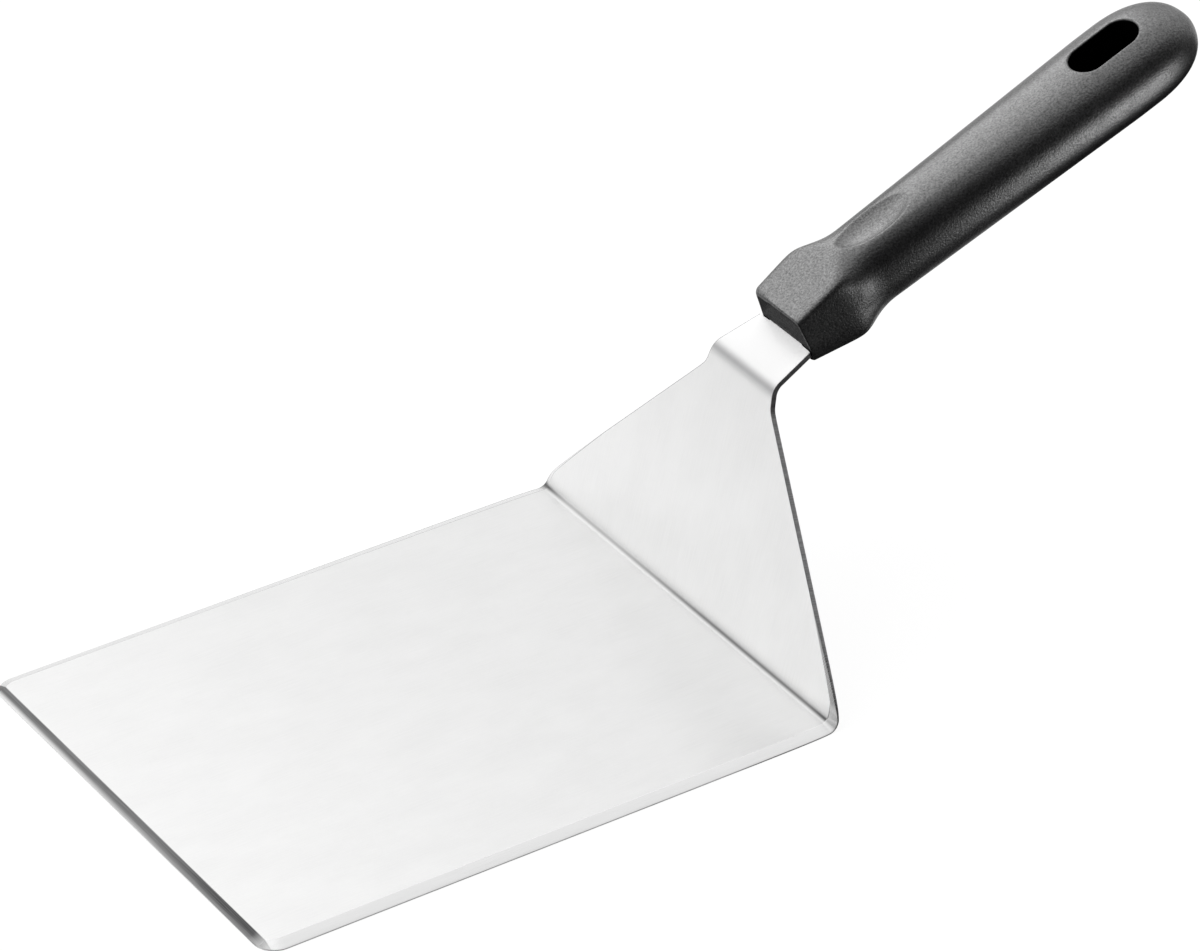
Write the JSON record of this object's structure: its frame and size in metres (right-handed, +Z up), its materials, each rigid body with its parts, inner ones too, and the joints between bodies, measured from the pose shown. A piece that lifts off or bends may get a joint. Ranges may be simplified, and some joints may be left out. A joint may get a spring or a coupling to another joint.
{
  "type": "barbecue spatula",
  "caption": "Flat bevelled steel blade, folded up into a tapering riser and bent back into a tang, with a moulded black plastic handle that has a thumb dimple and a hanging slot.",
  "frame": {"origin": "middle of the blade's flat underside", "axes": "+X from the blade's front edge towards the handle, +Y across the blade, +Z up from the blade's underside"},
  "size_m": [0.31, 0.13, 0.1255],
  "materials": {
    "steel": "fine brushing along the blade, bright ground bevels",
    "plastic": "black, with a fine moulded grain"
  },
  "bodies": {
    "root": {"blade": "steel", "handle": "plastic"}
  },
  "joints": []
}
